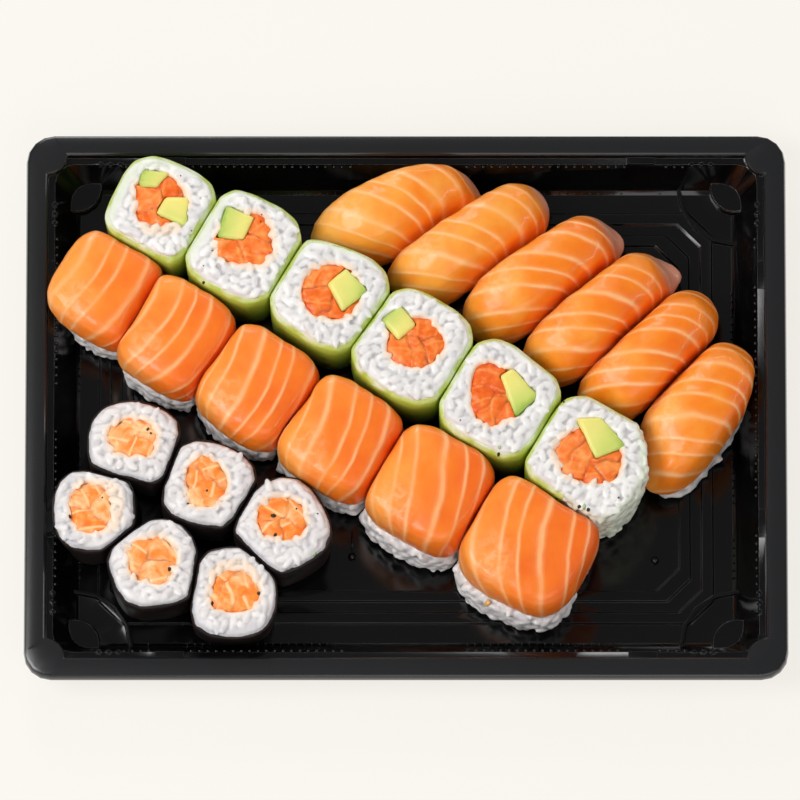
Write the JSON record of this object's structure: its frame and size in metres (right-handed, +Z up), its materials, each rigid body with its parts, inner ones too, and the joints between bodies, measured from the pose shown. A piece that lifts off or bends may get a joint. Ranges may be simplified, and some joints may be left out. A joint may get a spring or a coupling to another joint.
{
  "type": "takeaway sushi tray",
  "caption": "Open black plastic takeaway tray filled with salmon sushi: rolls cut face up, salmon-covered rice blocks, hand-pressed pieces and thin seaweed rolls.",
  "frame": {"origin": "middle of the whole object's box at its underside, where the tray stands", "axes": "+X along the tray's long side to the right of the picture, +Y to its far side, +Z up"},
  "size_m": [0.265, 0.1964, 0.0327],
  "materials": {
    "tray_plastic": "thermoformed black plastic sheet, glossy",
    "rice": "cooked short-grain rice, moist",
    "salmon": "raw salmon with pale lines, moist",
    "avocado": "cut ripe avocado, satin",
    "seaweed": "dry seaweed sheet, near black",
    "leaf_wrap": "thin moist green leaf wrap"
  },
  "bodies": {
    "root": {"tray": "tray_plastic", "roll_1_rice": "rice", "roll_1_salmon": "salmon", "roll_1_avocado_1": "avocado", "roll_1_avocado_2": "avocado", "roll_2_rice": "rice", "roll_2_salmon": "salmon", "roll_2_avocado": "avocado", "roll_3_rice": "rice", "roll_3_salmon": "salmon", "roll_3_avocado": "avocado", "roll_4_rice": "rice", "roll_4_salmon": "salmon", "roll_4_avocado": "avocado", "roll_5_rice": "rice", "roll_5_salmon": "salmon", "roll_5_avocado": "avocado", "roll_6_rice": "rice", "roll_6_salmon": "salmon", "roll_6_avocado": "avocado", "block_1_rice": "rice", "block_1_salmon": "salmon", "block_2_rice": "rice", "block_2_salmon": "salmon", "block_3_rice": "rice", "block_3_salmon": "salmon", "block_4_rice": "rice", "block_4_salmon": "salmon", "block_5_rice": "rice", "block_5_salmon": "salmon", "block_6_rice": "rice", "block_6_salmon": "salmon", "nigiri_1_rice": "rice", "nigiri_1_salmon": "salmon", "nigiri_2_rice": "rice", "nigiri_2_salmon": "salmon", "nigiri_3_rice": "rice", "nigiri_3_salmon": "salmon", "nigiri_4_rice": "rice", "nigiri_4_salmon": "salmon", "nigiri_5_rice": "rice", "nigiri_5_salmon": "salmon", "nigiri_6_rice": "rice", "nigiri_6_salmon": "salmon", "maki_1_rice": "rice", "maki_1_salmon": "salmon", "maki_2_rice": "rice", "maki_2_salmon": "salmon", "maki_3_rice": "rice", "maki_3_salmon": "salmon", "maki_4_rice": "rice", "maki_4_salmon": "salmon", "maki_5_rice": "rice", "maki_5_salmon": "salmon", "maki_6_rice": "rice", "maki_6_salmon": "salmon"}
  },
  "joints": []
}
